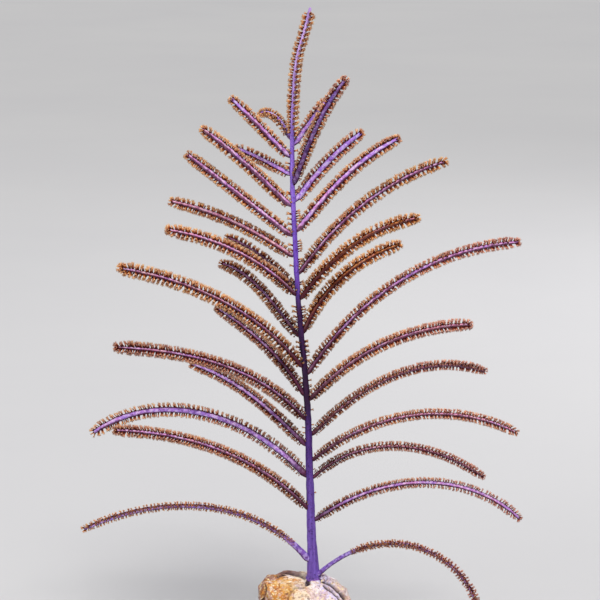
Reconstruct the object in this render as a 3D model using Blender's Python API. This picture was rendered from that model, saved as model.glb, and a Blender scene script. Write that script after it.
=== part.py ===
"""A sea plume gorgonian growing on a small loose rock.

One upright stem rises from a thin holdfast on the rock. Thirty unbranched side branches leave it
to the left and right, each a node of its own, and arch upwards and outwards. Every branch carries
its polyps along its two lateral sides, shown here as staggered lumps, with a bare strip between.

Metres, +Z up. The origin is the centre of the rock's flat underside. The viewer is at -Y.
"""

import math

import bmesh
import bpy
from mathutils import Vector, kdtree, noise

MM = 0.001
GAP = 0.3 * MM

# Stem: points of its centre line, as height, sideways place and depth
STEM_LINE_MM = [
    (24.3, 3.2, 0.0),
    (37, 2.5, 0.2),
    (57, 1.9, 0.0),
    (80, 1.3, -0.4),
    (94, 0.3, -0.5),
    (107, -1.0, -0.4),
    (120, -2.1, 0.0),
    (138, -3.0, 0.5),
    (156, -3.8, 0.8),
    (171, -3.8, 0.6),
    (185, -3.2, 0.2),
    (193, -2.7, 0.0),
    (199, -1.3, -0.2),
    (205, 1.0, -0.5),
    (209.6, 2.2, -0.8),
]
# Stem: radius of the smooth core at a few heights, from the spread holdfast to the tip
STEM_RADIUS_MM = [
    (24.3, 2.4),
    (24.8, 2.3),
    (25.8, 2.15),
    (28.5, 1.9),
    (37, 1.55),
    (57, 1.25),
    (80, 1.05),
    (120, 0.85),
    (160, 0.8),
    (180, 0.65),
    (204, 0.65),
    (207, 0.75),
    (209.6, 0.55),
]
STEM_SIDES = 8
STEM_RING = 2.9 * MM
STEM_POLYPS_FROM = 52 * MM
LEADER_FROM = 168 * MM
# Height on the stem and how far its polyps stand out there
STEM_POLYP_REACH_MM = [(52, 0.9), (90, 1.2), (115, 1.8), (209.6, 1.8)]
LEADER_REACH = 2.45 * MM

# Branches, lowest first: side, height of the root on the stem (mm), yaw towards the viewer,
# length (mm), rise at the root, in the middle and at the tip, roll of the bare strip, and reach
# of the polyps from the branch's centre line (mm). Angles are in degrees.
BRANCHES = [
    ("left_branch_01", -1, 28.0, 15, 85, 56, 12, -22, -45, 1.9),
    ("left_branch_02", -1, 46.5, 20, 76, 50, 26.5, 6, 10, 2.3),
    ("left_branch_03", -1, 57.4, -15, 83, 47, 9, -38, 0, 2.7),
    ("left_branch_04", -1, 68.1, -10, 48, 45, 36.5, 14, 0, 2.4),
    ("left_branch_05", -1, 76.5, 20, 73, 53, 23, 7, 15, 2.6),
    ("left_branch_06", -1, 83.8, -8, 43, 65, 44, 33, 10, 2.4),
    ("left_branch_07", -1, 94.1, 30, 78, 53, 30.5, 14, 20, 2.8),
    ("left_branch_08", -1, 104.5, -40, 41, 36, 36, 1, 30, 2.5),
    ("left_branch_09", -1, 118.0, 20, 51, 49, 29, 12, 20, 2.6),
    ("left_branch_10", -1, 120.4, -30, 31, 38, 31, 10, 45, 2.4),
    ("left_branch_11", -1, 130.7, -10, 45, 35, 23, 10, 15, 2.4),
    ("left_branch_12", -1, 137.3, 5, 44, 39, 39, 38, 0, 2.4),
    ("left_branch_13", -1, 146.8, 15, 40, 44, 43, 35, 0, 2.4),
    ("left_branch_14", -1, 157.3, -20, 21, 26, 23, 16, 20, 2.3),
    ("left_branch_15", -1, 162.5, 10, 28, 46, 46, 44, 0, 2.3),
    ("left_branch_16", -1, 168.1, -45, 18, 50, 34, -34, 60, 2.2),
    ("right_branch_01", 1, 23.6, 25, 72, 47, 1.5, -80, 60, 2.0),
    ("right_branch_02", 1, 42.8, 10, 75, 39, 6.5, -44, -10, 2.0),
    ("right_branch_03", 1, 57.0, -15, 66, 45, -7, -37, 10, 1.9),
    ("right_branch_04", 1, 63.2, 15, 74, 43, 13.5, -25, 5, 2.0),
    ("right_branch_05", 1, 71.6, -20, 69, 44, 17, -24, 30, 2.1),
    ("right_branch_06", 1, 83.5, 20, 64, 51, 29, 5, 0, 2.4),
    ("right_branch_07", 1, 91.9, -5, 85, 59, 32.5, 2, 10, 2.3),
    ("right_branch_08", 1, 104.9, -15, 46, 71, 40.5, 13, 5, 2.6),
    ("right_branch_09", 1, 116.6, 20, 51, 57, 37.5, 12, 5, 2.6),
    ("right_branch_10", 1, 124.8, -10, 62, 56, 37, 14, 10, 2.5),
    ("right_branch_11", 1, 138.6, 5, 46, 53, 45, 26, 0, 2.5),
    ("right_branch_12", 1, 148.2, -10, 32, 54, 46, 33, 0, 2.6),
    ("right_branch_13", 1, 153.4, 42, 43, 66, 60, 44, 0, 2.4),
    ("right_branch_14", 1, 166.1, -20, 20, 57, 52, 47, 30, 2.2),
]
# Length of a branch next to the stem that bears no polyps (mm), where there is one
BARE_FOOT_MM = {"left_branch_01": 5, "right_branch_01": 12}
BRANCH_CORE = 0.85 * MM
BRANCH_STEP = 0.5 * MM
BRANCH_RING = 2.5 * MM
BRANCH_NECK = 4.5 * MM
BRANCH_TIP_TAPER = 5 * MM
TIP_ROUND = 0.9 * MM
VALLEY_SHARE = 0.72
# Angles of the section's points about the branch, measured from the bare strip
BRANCH_SECTION_DEG = [0, 63, 117, 180, 243, 297]

# Rock: its levels from the flat underside up to the top, as height, radius and how far the
# level wanders up and down
ROCK_LEVELS_MM = [
    (0.0, 13.2, 0.0),
    (1.0, 15.2, 0.0),
    (4.2, 16.6, 0.7),
    (7.6, 16.8, 1.2),
    (8.8, 15.8, 1.2),
    (12.4, 16.0, 1.3),
    (15.6, 15.2, 1.2),
    (16.8, 14.4, 1.1),
    (19.6, 13.7, 0.8),
    (21.2, 12.8, 0.5),
    (22.3, 11.7, 0.3),
    (23.0, 10.3, 0.3),
    (23.6, 8.8, 0.2),
    (24.1, 6.8, 0.2),
]
ROCK_SIDES = 30
ROCK_DEPTH_SHARE = 0.92
ROCK_ROUGHNESS = 0.16
# The flat seat that the holdfast grows on
SEAT_HEIGHT = 24.0 * MM
SEAT_RADIUS = 4.4 * MM
# A raised lip behind the stem on the left: bearing (deg), spread (deg), rise (mm)
ROCK_LIP = (138, 40, 1.3)
# A square shoulder on the left and a worn one on the right, as bearing (deg), spread (deg),
# lowest height and how far it stands out (mm)
ROCK_SHOULDERS = [(192, 75, 16.5, 2.7), (5, 55, 19.5, -1.2)]
# Pits and chipped hollows, as bearing (deg, from +X), height, width and depth (mm)
ROCK_PITS = [
    (262, 20.5, 3.6, 1.3),
    (305, 14.0, 5.0, 2.0),
    (222, 11.0, 6.0, 2.4),
    (348, 8.5, 5.0, 1.8),
    (165, 16.0, 5.5, 2.2),
    (118, 9.0, 6.0, 2.2),
    (60, 14.5, 5.5, 2.0),
    (20, 18.5, 4.0, 1.5),
]


def clear_scene():
    for thing in list(bpy.data.objects):
        bpy.data.objects.remove(thing, do_unlink=True)


def material(name, colour, roughness):
    finish = bpy.data.materials.new(name)
    finish.use_nodes = True
    shader = finish.node_tree.nodes["Principled BSDF"]
    shader.inputs["Base Color"].default_value = (*colour, 1.0)
    shader.inputs["Roughness"].default_value = roughness
    shader.inputs["Metallic"].default_value = 0.0
    return finish


def smooth_share(share):
    share = min(max(share, 0.0), 1.0)
    return share * share * (3 - 2 * share)


def read_curve(points, height):
    """Values of a hand-drawn curve at a height, straight between its points (all in mm)."""
    if height <= points[0][0]:
        return points[0][1:]
    for low, high in zip(points, points[1:]):
        if height <= high[0]:
            share = (height - low[0]) / (high[0] - low[0])
            return tuple(a + (b - a) * share for a, b in zip(low[1:], high[1:]))
    return points[-1][1:]


def stem_centre(height):
    """The stem's centre line, rounded by averaging over a short stretch."""
    reach, samples = 6.0, 7
    total = Vector((0.0, 0.0))
    for number in range(samples):
        shift = reach * (2 * number / (samples - 1) - 1)
        total += Vector(read_curve(STEM_LINE_MM, height / MM + shift))
    total /= samples
    return Vector((total.x * MM, total.y * MM, height))


def stem_radius(height):
    return read_curve(STEM_RADIUS_MM, height / MM)[0] * MM


def off_stem(point):
    """Distance from a point to the stem's surface at the point's own height."""
    centre = stem_centre(point.z)
    return (point - centre).length - stem_radius(point.z)


def branch_line(branch):
    """Points and directions along a branch's centre line, from the stem's middle to the tip."""
    _, side, height, yaw, length, root, middle, tip, _, _ = branch
    yaw = math.radians(yaw)
    point = stem_centre(height * MM)
    count = round(length * MM / BRANCH_STEP)
    line = []
    for number in range(count + 1):
        t = number / count
        rise = root * (1 - t) * (1 - 2 * t) + middle * 4 * t * (1 - t) + tip * t * (2 * t - 1)
        rise = math.radians(rise)
        flat = math.cos(rise)
        way = Vector((side * flat * math.cos(yaw), -flat * math.sin(yaw), math.sin(rise)))
        line.append((point.copy(), way))
        point = point + way * BRANCH_STEP
    return line


def section_axes(way, roll):
    """The directions of the bare strip and of the polyps, square to the branch."""
    strip = Vector((0.0, -1.0, 0.0))
    strip = (strip - way * strip.dot(way)).normalized()
    across = way.cross(strip)
    turn = math.radians(roll)
    return (
        strip * math.cos(turn) + across * math.sin(turn),
        across * math.cos(turn) - strip * math.sin(turn),
    )


def skin(name, rings, start, end, finish):
    """One closed mesh through rings of points, with a fan at each end."""
    mesh = bmesh.new()
    rows = [[mesh.verts.new(point) for point in ring] for ring in rings]
    first, last = mesh.verts.new(start), mesh.verts.new(end)
    for low, high in zip(rows, rows[1:]):
        for number in range(len(low)):
            following = (number + 1) % len(low)
            mesh.faces.new((low[number], low[following], high[following], high[number]))
    for number in range(len(rows[0])):
        following = (number + 1) % len(rows[0])
        mesh.faces.new((rows[0][following], rows[0][number], first))
        mesh.faces.new((rows[-1][number], rows[-1][following], last))
    bmesh.ops.triangulate(mesh, faces=mesh.faces[:])
    bmesh.ops.recalc_face_normals(mesh, faces=mesh.faces[:])
    data = bpy.data.meshes.new(name)
    mesh.to_mesh(data)
    mesh.free()
    data.materials.append(finish)
    thing = bpy.data.objects.new(name, data)
    bpy.context.collection.objects.link(thing)
    return thing


def slide_to_stem(point, way):
    """Moves a point of a branch's root back along the branch until it nearly meets the stem."""
    step = 0.05 * MM
    while off_stem(point - way * step) > GAP:
        point = point - way * step
    return point


def has_room(point, centre, neighbours):
    """Whether a point of a branch is clear of the stem and nearer its own line than any other."""
    if off_stem(point) < GAP:
        return False
    own = (point - centre).length + 1.5 * GAP
    return all((point - other).length > own for other in neighbours)


def make_branch(number, lines, tree, owners, finish):
    name, _, _, _, _, _, _, _, roll, reach = BRANCHES[number]
    line = lines[number]
    last = len(line) - 1
    reach *= MM
    bare = BARE_FOOT_MM.get(name, 0) * MM
    neck = next(n for n, (point, _) in enumerate(line) if off_stem(point) > GAP + BRANCH_CORE)
    places = list(range(neck, last - 2, round(BRANCH_RING / BRANCH_STEP))) + [last]
    rings = []
    for order, place in enumerate(places):
        centre, way = line[place]
        strip, across = section_axes(way, roll)
        swell = smooth_share(((place - neck) * BRANCH_STEP - bare) / BRANCH_NECK)
        swell *= 0.55 + 0.45 * smooth_share((last - place) * BRANCH_STEP / BRANCH_TIP_TAPER)
        near = tree.find_range(centre, 2.5 * reach)
        near = [point for point, index, _ in near if owners[index] != number]
        ring = []
        for corner, degrees in enumerate(BRANCH_SECTION_DEG):
            angle = math.radians(degrees)
            out = strip * math.cos(angle) + across * math.sin(angle)
            radius = BRANCH_CORE
            if degrees % 180:
                full = reach if (order + corner) % 2 else reach * VALLEY_SHARE
                radius += (full - BRANCH_CORE) * swell
            while radius > 0.6 * MM and not has_room(centre + out * radius, centre, near):
                radius -= 0.05 * MM
            ring.append(centre + out * radius)
        rings.append(ring)
    way = line[neck][1]
    rings[0] = [slide_to_stem(point, way) for point in rings[0]]
    start = slide_to_stem(line[neck][0], way)
    end = line[last][0] + line[last][1] * TIP_ROUND
    return skin(name, rings, start, end, finish)


def make_stem(branch_points, finish):
    foot, top = STEM_LINE_MM[0][0] * MM, STEM_LINE_MM[-1][0] * MM
    flare = [height * MM for height, _ in STEM_RADIUS_MM if height < 30]
    count = round((top - flare[-1]) / STEM_RING)
    heights = flare + [flare[-1] + (top - flare[-1]) * n / count for n in range(1, count + 1)]
    rings = []
    for order, height in enumerate(heights):
        centre = stem_centre(height)
        core = stem_radius(height)
        leader = smooth_share((height - LEADER_FROM + 8 * MM) / (16 * MM))
        reach = core + read_curve(STEM_POLYP_REACH_MM, height / MM)[0] * MM
        reach += (LEADER_REACH - reach) * leader
        swell = smooth_share((height - STEM_POLYPS_FROM) / (10 * MM))
        swell *= 0.5 + 0.5 * smooth_share((top - height) / BRANCH_TIP_TAPER)
        ring = []
        for number in range(STEM_SIDES):
            angle = math.tau * number / STEM_SIDES
            out = Vector((math.sin(angle), -math.cos(angle), 0.0))
            radius = core
            if number % (STEM_SIDES // 2):
                full = reach if (order + number) % 2 else core + (reach - core) * 0.45
                radius = core + (full - core) * swell
            while radius > core and any(
                (centre + out * radius - point).length < room for point, room in branch_points
            ):
                radius -= 0.1 * MM
            ring.append(centre + out * max(radius, core))
        rings.append(ring)
    start = stem_centre(foot)
    end = stem_centre(top) + Vector((0, 0, TIP_ROUND))
    return skin("stem", rings, start, end, finish)


def rock_point(bearing, height, radius, wander):
    """A point of the rock's surface: an uneven round level, with ledges, a lip and pits."""
    out = Vector((math.cos(bearing), math.sin(bearing) * ROCK_DEPTH_SHARE, 0.0))
    spot = out * 1.3 + Vector((0.0, 0.0, height / (11 * MM)))
    uneven = noise.noise(spot) + 0.45 * noise.noise(spot * 2.6 + Vector((7.0, 3.0, 1.0)))
    tilt = noise.noise(Vector((out.x * 1.4, out.y * 1.4, 4.0)))
    radius *= 1 + ROCK_ROUGHNESS * uneven * smooth_share(0.3 + height / (12 * MM))
    for middle, spread, lowest, stand_out in ROCK_SHOULDERS:
        off = abs((math.degrees(bearing) - middle + 180) % 360 - 180)
        on_shoulder = smooth_share((height / MM - lowest) / 1.8)
        radius += stand_out * MM * on_shoulder * smooth_share(1.25 - off / spread)
    point = out * radius + Vector((0.0, 0.0, height + tilt * wander * 2.2))
    middle, spread, rise = ROCK_LIP
    off = abs((math.degrees(bearing) - middle + 180) % 360 - 180)
    on_top = smooth_share((height - 22.0 * MM) / (1.2 * MM)) * (radius > 8.4 * MM)
    point.z += rise * MM * smooth_share(1 - off / spread) * on_top
    for pit_bearing, pit_height, width, depth in ROCK_PITS:
        turn = math.radians(pit_bearing)
        inwards = Vector((-math.cos(turn), -math.sin(turn), 0))
        pit = Vector((0, 0, pit_height * MM)) - inwards * radius
        point += inwards * depth * MM * smooth_share(1 - (point - pit).length / (width * MM))
    return point


def make_rock(finish):
    seat = stem_centre(SEAT_HEIGHT)
    bearings = [math.tau * number / ROCK_SIDES for number in range(ROCK_SIDES)]
    rings = []
    for height, radius, wander in ROCK_LEVELS_MM:
        share = smooth_share((height - 18) / 8)
        shift = Vector((seat.x * 0.3 * share, 0.0, 0.0))
        ring = [rock_point(b, height * MM, radius * MM, wander * MM) + shift for b in bearings]
        if height == 0:
            ring = [Vector((point.x, point.y, 0.0)) for point in ring]
        rings.append(ring)
    edge = [Vector((math.cos(b), math.sin(b), 0.0)) * SEAT_RADIUS for b in bearings]
    rings.append([seat + offset for offset in edge])
    return skin("rock", rings, Vector((0, 0, 0)), seat, finish)


def main():
    clear_scene()
    make_rock(material("rock_crust", (0.55, 0.42, 0.33), 0.85))
    lines = [branch_line(branch) for branch in BRANCHES]
    owners = [number for number, line in enumerate(lines) for _ in line[6:]]
    tree = kdtree.KDTree(len(owners))
    for index, point in enumerate(point for line in lines for point, _ in line[6:]):
        tree.insert(point, index)
    tree.balance()
    branch_points = []
    for branch, line in zip(BRANCHES, lines):
        branch_points += [(point, branch[-1] * MM + 3 * GAP) for point, _ in line[4:60:2]]
    make_stem(branch_points, material("stem_skin", (0.25, 0.12, 0.42), 0.5))
    for number, branch in enumerate(BRANCHES):
        finish = material(branch[0] + "_skin", (0.36, 0.17, 0.16), 0.6)
        make_branch(number, lines, tree, owners, finish)


main()
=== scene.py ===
# %% [markdown]
# # A sea plume on its rock
# The real thing is a soft coral. A purple stem stands on a foot that has spread over a small
# rock, and thirty branches leave it to the left and right. Every branch carries rows of polyps,
# each about 2 mm tall. The solids come packed and stay where they are, and this lesson dresses
# them: every branch gets its own skin and its own polyps, and the rock its crust.

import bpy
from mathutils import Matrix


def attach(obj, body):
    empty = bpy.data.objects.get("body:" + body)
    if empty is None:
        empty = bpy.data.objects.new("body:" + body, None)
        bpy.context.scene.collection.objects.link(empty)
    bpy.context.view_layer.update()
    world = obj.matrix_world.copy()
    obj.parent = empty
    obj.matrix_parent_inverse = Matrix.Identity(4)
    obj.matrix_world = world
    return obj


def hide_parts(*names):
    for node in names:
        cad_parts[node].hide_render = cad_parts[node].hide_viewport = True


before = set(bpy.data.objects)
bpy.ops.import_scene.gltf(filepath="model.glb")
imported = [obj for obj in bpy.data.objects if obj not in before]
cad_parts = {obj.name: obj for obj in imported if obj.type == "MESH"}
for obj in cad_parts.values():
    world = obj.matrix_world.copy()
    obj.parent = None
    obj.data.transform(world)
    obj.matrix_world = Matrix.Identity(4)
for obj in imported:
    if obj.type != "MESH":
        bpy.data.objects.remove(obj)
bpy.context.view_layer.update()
print("packed nodes:", len(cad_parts))

# %% [markdown]
# ## Sizes
# The branches are drawn again from the numbers that the solids were made from, so every piece
# lies on its solid. Heights and lengths are in millimetres and angles in degrees. The last four
# columns are new: how thick a branch's core is, and how its skin and its polyps look.

# %% Sizes of the coral
import math

import bpy
import numpy as np
from mathutils import Vector, kdtree, noise

MM = 0.001

# Stem: height, sideways place and depth of its centre line, then height and radius
STEM_LINE_MM = [
    (24.3, 3.2, 0.0), (37, 2.5, 0.2), (57, 1.9, 0.0), (80, 1.3, -0.4), (94, 0.3, -0.5),
    (107, -1.0, -0.4), (120, -2.1, 0.0), (138, -3.0, 0.5), (156, -3.8, 0.8), (171, -3.8, 0.6),
    (185, -3.2, 0.2), (193, -2.7, 0.0), (199, -1.3, -0.2), (205, 1.0, -0.5), (209.6, 2.2, -0.8),
]
STEM_RADIUS_MM = [
    (23.2, 2.75), (24.0, 2.6), (24.3, 2.4), (24.8, 2.3), (25.8, 2.15), (28.5, 1.9), (37, 1.55),
    (57, 1.25), (80, 1.05), (120, 0.85), (160, 0.8), (180, 0.65), (204, 0.65), (207, 0.75),
    (209.6, 0.55),
]
STEM_FOOT_MM = STEM_LINE_MM[0][0]
STEM_TOP_MM = STEM_LINE_MM[-1][0]
# Branches, lowest first: side, height of the root, yaw, length, rise at the root, in the middle
# and at the tip, roll of the bare strip, reach of the polyps. Then the look: radius of the core,
# how pink the strip is, how much painted light it gets, how orange the polyps are
BRANCHES = [
    ("left_branch_01", -1, 28.0, 15, 85, 56, 12, -22, -45, 1.9, 0.7, 0.3, 1.0, 0.65),
    ("left_branch_02", -1, 46.5, 20, 76, 50, 26.5, 6, 10, 2.3, 0.6, 0.75, 1.0, 0.4),
    ("left_branch_03", -1, 57.4, -15, 83, 47, 9, -38, 0, 2.7, 0.95, 0.35, 0.85, 0.4),
    ("left_branch_04", -1, 68.1, -10, 48, 45, 36.5, 14, 0, 2.4, 0.75, 0.45, 0.9, 0.4),
    ("left_branch_05", -1, 76.5, 20, 73, 53, 23, 7, 15, 2.6, 0.6, 0.75, 0.9, 0.3),
    ("left_branch_06", -1, 83.8, -8, 43, 65, 44, 33, 10, 2.4, 0.6, 0.5, 0.4, 0.3),
    ("left_branch_07", -1, 94.1, 30, 78, 53, 30.5, 14, 20, 2.8, 0.6, 0.8, 1.0, 0.8),
    ("left_branch_08", -1, 104.5, -40, 41, 36, 36, 1, 30, 2.5, 0.6, 0.6, 0.3, 0.6),
    ("left_branch_09", -1, 118.0, 20, 51, 49, 29, 12, 20, 2.6, 0.65, 0.8, 0.9, 0.7),
    ("left_branch_10", -1, 120.4, -30, 31, 38, 31, 10, 45, 2.4, 0.6, 0.6, 0.3, 0.6),
    ("left_branch_11", -1, 130.7, -10, 45, 35, 23, 10, 15, 2.4, 0.75, 0.9, 0.9, 0.8),
    ("left_branch_12", -1, 137.3, 5, 44, 39, 39, 38, 0, 2.4, 0.85, 0.7, 1.0, 0.8),
    ("left_branch_13", -1, 146.8, 15, 40, 44, 43, 35, 0, 2.4, 0.85, 0.65, 1.0, 0.8),
    ("left_branch_14", -1, 157.3, -20, 21, 26, 23, 16, 20, 2.3, 0.75, 0.3, 1.0, 0.6),
    ("left_branch_15", -1, 162.5, 10, 28, 46, 46, 44, 0, 2.3, 0.85, 0.5, 1.0, 0.8),
    ("left_branch_16", -1, 168.1, -45, 18, 50, 34, -34, 60, 2.2, 0.65, 0.2, 1.0, 1.0),
    ("right_branch_01", 1, 23.6, 25, 72, 47, 1.5, -80, 60, 2.0, 0.6, 0.55, 0.8, 0.45),
    ("right_branch_02", 1, 42.8, 10, 75, 39, 6.5, -44, -10, 2.0, 0.65, 0.5, 0.8, 0.4),
    ("right_branch_03", 1, 57.0, -15, 66, 45, -7, -37, 10, 1.9, 0.5, 0.85, 0.9, 0.3),
    ("right_branch_04", 1, 63.2, 15, 74, 43, 13.5, -25, 5, 2.0, 0.55, 0.85, 1.0, 0.5),
    ("right_branch_05", 1, 71.6, -20, 69, 44, 17, -24, 30, 2.1, 0.62, 0.9, 1.0, 0.4),
    ("right_branch_06", 1, 83.5, 20, 64, 51, 29, 5, 0, 2.4, 0.65, 0.9, 1.0, 0.6),
    ("right_branch_07", 1, 91.9, -5, 85, 59, 32.5, 2, 10, 2.3, 0.7, 0.6, 1.0, 0.5),
    ("right_branch_08", 1, 104.9, -15, 46, 71, 40.5, 13, 5, 2.6, 0.7, 1.25, 1.0, 1.0),
    ("right_branch_09", 1, 116.6, 20, 51, 57, 37.5, 12, 5, 2.6, 0.68, 1.2, 1.0, 1.0),
    ("right_branch_10", 1, 124.8, -10, 62, 56, 37, 14, 10, 2.5, 0.68, 0.7, 0.85, 0.7),
    ("right_branch_11", 1, 138.6, 5, 46, 53, 45, 26, 0, 2.5, 0.9, 0.5, 1.0, 0.6),
    ("right_branch_12", 1, 148.2, -10, 32, 54, 46, 33, 0, 2.6, 0.95, 0.25, 1.0, 0.5),
    ("right_branch_13", 1, 153.4, 42, 43, 66, 60, 44, 0, 2.4, 0.8, 0.15, 1.3, 0.6),
    ("right_branch_14", 1, 166.1, -20, 20, 57, 52, 47, 30, 2.2, 0.85, 0.3, 0.9, 0.5),
]
# Length of a branch next to the stem that bears no polyps (mm), where there is one
BARE_FOOT_MM = {"left_branch_01": 5, "right_branch_01": 12}
# Branches painted darker than the rest, as painted shade for lying lower down or behind others
PAINTED_DIMMING = {
    "left_branch_01": 0.95, "left_branch_02": 0.85, "left_branch_03": 0.9, "left_branch_04": 0.8,
    "left_branch_05": 0.8, "left_branch_06": 0.7, "left_branch_08": 0.75, "left_branch_10": 0.85,
    "right_branch_01": 0.9, "right_branch_02": 0.85, "right_branch_03": 0.85,
    "right_branch_04": 0.95, "right_branch_05": 0.95,
}
# Step along a line, length of its end that the core leaves free, and how far polyps may pass it
LINE_STEP = 0.5 * MM
CORE_STOPS = 1.2 * MM
TIP_ROUND = 0.9 * MM
print("branches:", len(BRANCHES), "with", sum(row[4] for row in BRANCHES), "mm of length")

# %% [markdown]
# ## Centre lines
# A branch leaves the stem steeply and bends over with its length. Its rise follows a parabola
# through three angles, and walking along it in steps of half a millimetre gives the points.

# %% Draw the centre lines


def ease(share):
    """A soft step: 0 up to 0, 1 from 1 on, and smooth between."""
    share = np.clip(share, 0.0, 1.0)
    return share * share * (3 - 2 * share)


def read_curve(points, height):
    """Values of a listed curve at a height, straight between its points (all in mm)."""
    table = np.array(points)
    return [float(np.interp(height, table[:, 0], table[:, n])) for n in range(1, table.shape[1])]


def stem_centre(height):
    """The stem's centre line, rounded by averaging over a short stretch."""
    shifts = np.linspace(-6.0, 6.0, 7)
    x, y = np.mean([read_curve(STEM_LINE_MM, height / MM + s) for s in shifts], axis=0)
    return Vector((x * MM, y * MM, height))


def stem_radius(height):
    """The stem's radius at a height."""
    return read_curve(STEM_RADIUS_MM, height / MM)[0] * MM


def off_stem(point):
    """Distance from a point to the stem's surface at the point's own height."""
    return (Vector(point) - stem_centre(point[2])).length - stem_radius(point[2])


def branch_line(row):
    """Points along a branch, its direction there, and the directions of strip and polyps."""
    _, side, height, yaw, length, root, middle, tip, roll, *_ = row
    yaw, roll = math.radians(yaw), math.radians(roll)
    t = np.linspace(0, 1, round(length * MM / LINE_STEP) + 1)
    rise = root * (1 - t) * (1 - 2 * t) + middle * 4 * t * (1 - t) + tip * t * (2 * t - 1)
    rise = np.radians(rise)
    flat = np.cos(rise)
    way = np.column_stack((side * flat * math.cos(yaw), -flat * math.sin(yaw), np.sin(rise)))
    start = np.array(stem_centre(height * MM))
    points = start + np.vstack((np.zeros(3), np.cumsum(way[:-1], axis=0))) * LINE_STEP
    front = np.array((0.0, -1.0, 0.0))
    strip = front - way * (way @ front)[:, None]
    strip /= np.linalg.norm(strip, axis=1)[:, None]
    across = np.cross(way, strip)
    turned = strip * math.cos(roll) + across * math.sin(roll)
    return points, way, turned, across * math.cos(roll) - strip * math.sin(roll)


lines = [branch_line(row) for row in BRANCHES]
print("longest line:", round(max(len(line[0]) for line in lines) * LINE_STEP / MM), "mm")

# %% [markdown]
# ## Working by hand, in code
# Every operator acts on all that is selected. So each step first clears the selection, and then
# picks faces by their place or normal, as a hand would pick them in edit mode.

# %% Helpers for modelling


def clear_selection():
    """Back to object mode, with nothing selected."""
    if bpy.context.object and bpy.context.object.mode != "OBJECT":
        bpy.ops.object.mode_set(mode="OBJECT")
    bpy.ops.object.select_all(action="DESELECT")


def pick_faces(thing, wanted):
    """In edit mode, selects the faces whose middle and normal pass a test."""
    bpy.ops.mesh.select_mode(type="FACE")
    bpy.ops.mesh.select_all(action="DESELECT")
    bpy.ops.object.mode_set(mode="OBJECT")
    for face in thing.data.polygons:
        face.select = bool(wanted(face.center, face.normal))
    bpy.ops.object.mode_set(mode="EDIT")


def paint(mesh, name, values):
    """Keeps one number for each point of a mesh, for a material to read."""
    layer = mesh.attributes.new(name, "FLOAT", "POINT")
    layer.data.foreach_set("value", np.asarray(values, dtype=np.float32))


def points_of(mesh):
    """The places of a mesh's points, one row each."""
    places = np.empty(len(mesh.vertices) * 3)
    mesh.vertices.foreach_get("co", places)
    return places.reshape(-1, 3)


def move_points(mesh, places):
    """Puts the points of a mesh at new places."""
    mesh.vertices.foreach_set("co", places.ravel())
    mesh.update()


# %% [markdown]
# ## Helpers for materials
# A material is a small graph. These helpers add a node with its settings and join it to others.
# Blotches and fine grain are used by several finishes, so each is a node group, built once, and
# a helper lays a colour over another through such a mask.

# %% Node helpers


def add_node(tree, kind, inputs=None, **settings):
    """A node with its settings. Each input is a plain value, or a socket to be linked."""
    made = tree.nodes.new(kind)
    for name, value in settings.items():
        setattr(made, name, value)
    for name, value in (inputs or {}).items():
        if isinstance(value, bpy.types.NodeSocket):
            tree.links.new(value, made.inputs[name])
        else:
            made.inputs[name].default_value = value
    return made


def ramp(tree, mask, stops, smooth=True):
    """A colour ramp over a mask, from (position, colour) stops."""
    made = add_node(tree, "ShaderNodeValToRGB", {"Fac": mask})
    made.color_ramp.interpolation = "EASE" if smooth else "LINEAR"
    spots = made.color_ramp.elements
    while len(spots) < len(stops):
        spots.new(0.5)
    for spot, (position, colour) in zip(spots, stops):
        spot.position = position
        spot.color = (*colour, 1.0)
    return made.outputs["Color"]


def mix(tree, mask, low, high, blend="MIX"):
    """Two colours mixed by a mask. Either colour is a socket or plain values."""
    made = add_node(tree, "ShaderNodeMix", data_type="RGBA", blend_type=blend)
    for socket, value in ((made.inputs[0], mask), (made.inputs[6], low), (made.inputs[7], high)):
        if isinstance(value, bpy.types.NodeSocket):
            tree.links.new(value, socket)
        elif isinstance(value, tuple):
            socket.default_value = (*value, 1.0)
        else:
            socket.default_value = value
    return made.outputs[2]


def calc(tree, operation, first, second=0.0, third=None, clamp=False):
    """One calculation with two values or three."""
    inputs = {0: first, 1: second} if third is None else {0: first, 1: second, 2: third}
    made = add_node(tree, "ShaderNodeMath", inputs, operation=operation, use_clamp=clamp)
    return made.outputs[0]


def read_attribute(tree, name):
    """A number that the mesh keeps for each of its points."""
    return add_node(tree, "ShaderNodeAttribute", attribute_name=name).outputs["Fac"]


def new_group(name, inputs, outputs):
    """An empty node group, with the sockets of what goes in and what comes out."""
    tree = bpy.data.node_groups.new(name, "ShaderNodeTree")
    for label, kind, value in inputs:
        socket = tree.interface.new_socket(label, in_out="INPUT", socket_type=kind)
        if value is not None:
            socket.default_value = value
    for label, kind in outputs:
        tree.interface.new_socket(label, in_out="OUTPUT", socket_type=kind)
    return tree, tree.nodes.new("NodeGroupInput").outputs, tree.nodes.new("NodeGroupOutput").inputs


# %% Node groups for blotches and grain
FLOAT, VECTOR = "NodeSocketFloat", "NodeSocketVector"
# Blotches are a mask of soft patches, with their scale, where they start and where they are full
blotches, put_in, put_out = new_group(
    "blotches",
    [("Vector", VECTOR, None), ("Scale", FLOAT, 300.0), ("From", FLOAT, 0.45), ("To", FLOAT, 0.6)],
    [("Mask", FLOAT)],
)
patch = add_node(blotches, "ShaderNodeTexNoise", {
    "Vector": put_in["Vector"], "Scale": put_in["Scale"], "Detail": 5.0, "Roughness": 0.6})
spread = add_node(blotches, "ShaderNodeMapRange", {
    "Value": patch.outputs["Fac"], "From Min": put_in["From"], "From Max": put_in["To"]})
blotches.links.new(spread.outputs["Result"], put_out["Mask"])

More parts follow.
